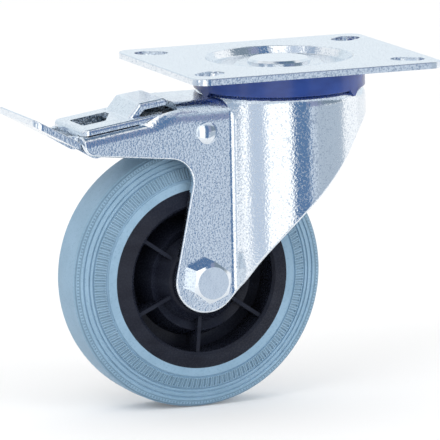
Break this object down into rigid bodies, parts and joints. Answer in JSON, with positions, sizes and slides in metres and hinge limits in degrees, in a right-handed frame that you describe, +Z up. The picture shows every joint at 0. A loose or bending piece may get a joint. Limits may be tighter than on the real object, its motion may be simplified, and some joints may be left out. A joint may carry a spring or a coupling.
{
  "type": "swivel castor",
  "caption": "Swivel castor with a rectangular top plate, pressed sheet fork, grey-blue rubber tyre and a rear toe brake with a release plate.",
  "frame": {"origin": "swivel axis at the top face of the mounting plate", "axes": "+Z up out of the plate along the swivel axis; the wheel trails towards -X; the axle bolt's head faces -Y"},
  "size_m": [0.1559, 0.085, 0.13],
  "materials": {
    "zinc_sheet": "satin",
    "zinc_bolt": "satin",
    "ball_steel": "polished",
    "spring_steel": "satin",
    "blue_plastic": "matte",
    "black_plastic": "matte",
    "cage_plastic": "matte",
    "tyre_rubber": "matte",
    "shoe_steel": "satin"
  },
  "bodies": {
    "plate": {"top_plate": "zinc_sheet", "king_rivet": "zinc_bolt", "upper_balls": "ball_steel", "lower_balls": "ball_steel", "lower_cup": "zinc_sheet"},
    "fork": {"fork": "zinc_sheet", "seal_ring": "blue_plastic", "axle_bolt": "zinc_bolt", "axle_nut": "zinc_bolt", "axle_tube": "zinc_bolt", "hub_washers": "zinc_bolt", "rocker_rivet": "zinc_bolt", "pedal_pin": "zinc_bolt"},
    "wheel": {"wheel_centre": "black_plastic", "tyre": "tyre_rubber", "bearing_rollers": "ball_steel", "roller_cage": "cage_plastic"},
    "rocker": {"rocker": "zinc_sheet", "brake_shoe": "shoe_steel", "shoe_rivets": "zinc_bolt", "return_spring": "spring_steel"},
    "pedal": {"pedal": "zinc_sheet"}
  },
  "joints": [
    {"name": "swivel", "type": "hinge", "parent": "plate", "child": "fork", "pos_m": [0, 0, -0.0105], "axis": [0, 0, 1], "continuous": true},
    {"name": "wheel_spin", "type": "hinge", "parent": "fork", "child": "wheel", "pos_m": [-0.038, 0, -0.08], "axis": [0, 1, 0], "continuous": true},
    {"name": "pedal_press", "type": "hinge", "parent": "fork", "child": "pedal", "pos_m": [-0.079, 0, -0.027], "axis": [0, -1, 0], "range_deg": [0, 25]},
    {"name": "rocker_tilt", "type": "hinge", "parent": "fork", "child": "rocker", "pos_m": [-0.037, 0, -0.024], "axis": [0, 1, 0], "range_deg": [0, 4.2]}
  ],
  "couplings": [
    {"joint": "rocker_tilt", "follows": "pedal_press", "ratio": 0.168}
  ]
}
